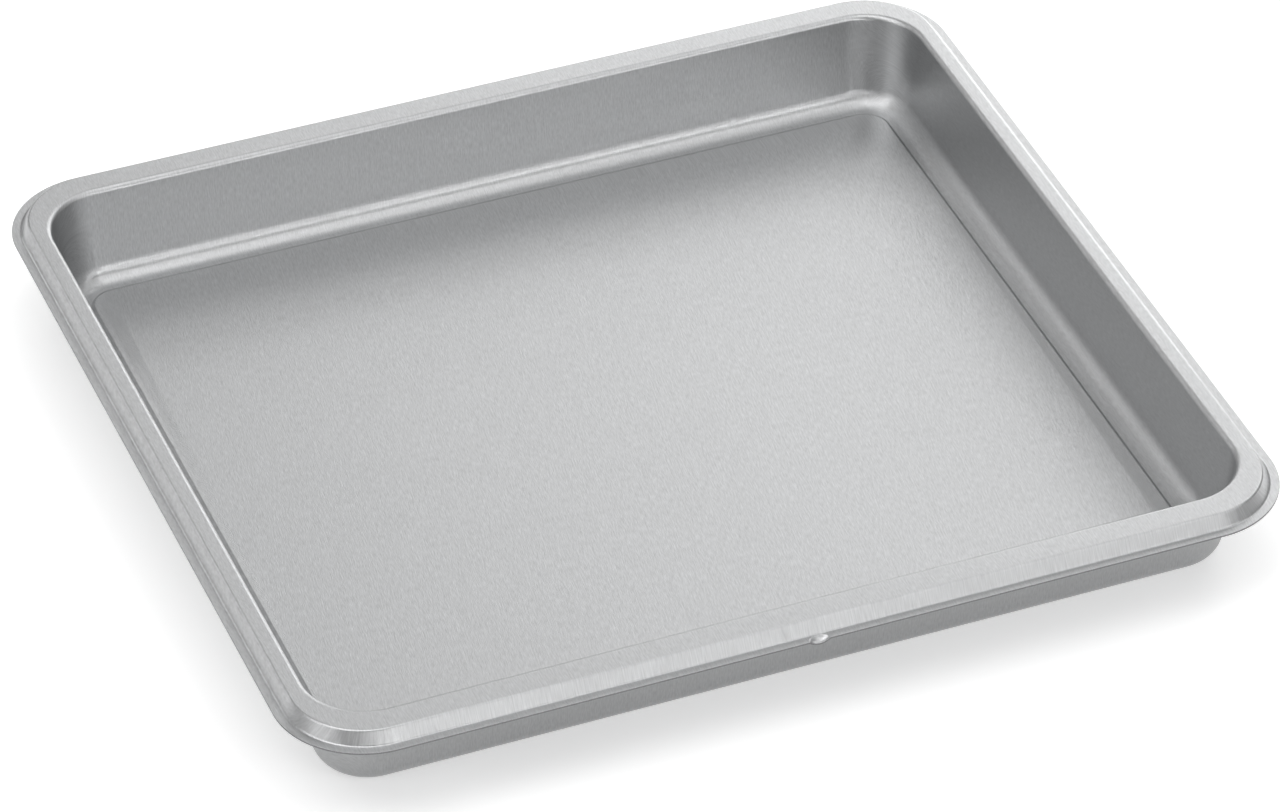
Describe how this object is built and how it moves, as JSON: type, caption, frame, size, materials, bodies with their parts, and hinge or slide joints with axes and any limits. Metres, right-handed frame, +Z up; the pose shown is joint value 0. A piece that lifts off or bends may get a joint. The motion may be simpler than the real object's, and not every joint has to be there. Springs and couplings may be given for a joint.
{
  "type": "steam oven pan",
  "caption": "Shallow pressed stainless-steel pan with a stepped rim, sloping walls and a raised floor panel, for food in a steam oven.",
  "frame": {"origin": "middle of the pan in plan, at the level it stands on", "axes": "+X to the right along the front edge, +Y from front to back, +Z up"},
  "size_m": [0.394, 0.375, 0.0396],
  "materials": {
    "pan": "fine straight brushing from front to back, soft satin shine"
  },
  "bodies": {
    "root": {"pan": "pan"}
  },
  "joints": []
}
